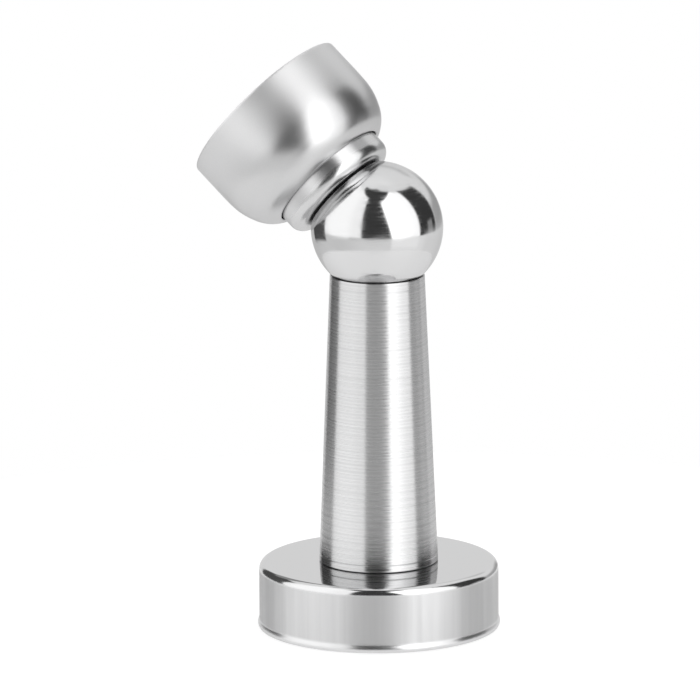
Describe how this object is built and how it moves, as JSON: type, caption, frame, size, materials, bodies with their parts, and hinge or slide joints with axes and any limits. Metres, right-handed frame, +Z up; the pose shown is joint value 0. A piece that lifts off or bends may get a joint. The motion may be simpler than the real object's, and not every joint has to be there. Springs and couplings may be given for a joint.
{
  "type": "floor door holder",
  "caption": "Magnetic floor door holder: round base, tapered post, tilting ball head with ring magnet, and a sprung door cup held on it.",
  "frame": {"origin": "centre of the mount plate's underside, on the floor", "axes": "+Z up along the post; the head leans towards -X in the XZ plane, and its tilt axis runs along Y through the ball's centre"},
  "size_m": [0.0612, 0.0486, 0.117],
  "materials": {
    "polished_steel": "polished",
    "brushed_steel": "satin",
    "satin_steel": "satin",
    "zinc_plated_steel": "satin",
    "fastener_steel": "satin",
    "spring_steel": "satin",
    "magnet": "satin",
    "brass": "satin",
    "black_plastic": "satin",
    "black_rubber": "matte"
  },
  "bodies": {
    "base": {"mount_plate": "zinc_plated_steel", "base_cover": "polished_steel", "cover_set_screw": "fastener_steel", "bolt_washer": "fastener_steel", "lock_washer": "fastener_steel", "post_bolt": "fastener_steel", "foot_bush": "zinc_plated_steel", "post_tube": "brushed_steel", "seat_ring": "black_plastic"},
    "swivel": {"tension_rod": "fastener_steel", "saddle_washer": "brass", "tension_spring": "spring_steel", "spring_washer": "fastener_steel", "lock_nut": "fastener_steel"},
    "ball_head": {"ball_shell": "polished_steel", "magnet_pot": "zinc_plated_steel", "ring_magnet": "magnet", "magnet_rivet": "fastener_steel"},
    "striker": {"strike_cap": "polished_steel", "strike_disc": "zinc_plated_steel", "guide_pin": "fastener_steel", "buffer_spring": "spring_steel"},
    "door_cup": {"bell_cup": "satin_steel", "bell_set_screw": "fastener_steel", "door_plate": "zinc_plated_steel", "guide_bush": "black_plastic", "buffer_ring": "black_rubber"}
  },
  "joints": [
    {"name": "head_swivel", "type": "hinge", "parent": "base", "child": "swivel", "pos_m": [0, 0, 0.0814], "axis": [0, 0, 1], "continuous": true},
    {"name": "head_tilt", "type": "hinge", "parent": "swivel", "child": "ball_head", "pos_m": [0, 0, 0.0814], "axis": [0, -1, 0], "range_deg": [-33.4, 41.6]},
    {"name": "door_release", "type": "slide", "parent": "ball_head", "child": "striker", "axis": [-0.7478, 0, 0.6639], "range_m": [0, 0.04]},
    {"name": "cup_plunge", "type": "slide", "parent": "striker", "child": "door_cup", "axis": [0.7478, 0, -0.6639], "range_m": [0, 0.003], "stiffness_N_per_m": 600, "springref_m": -0.004, "deforming": ["buffer_spring"]}
  ]
}
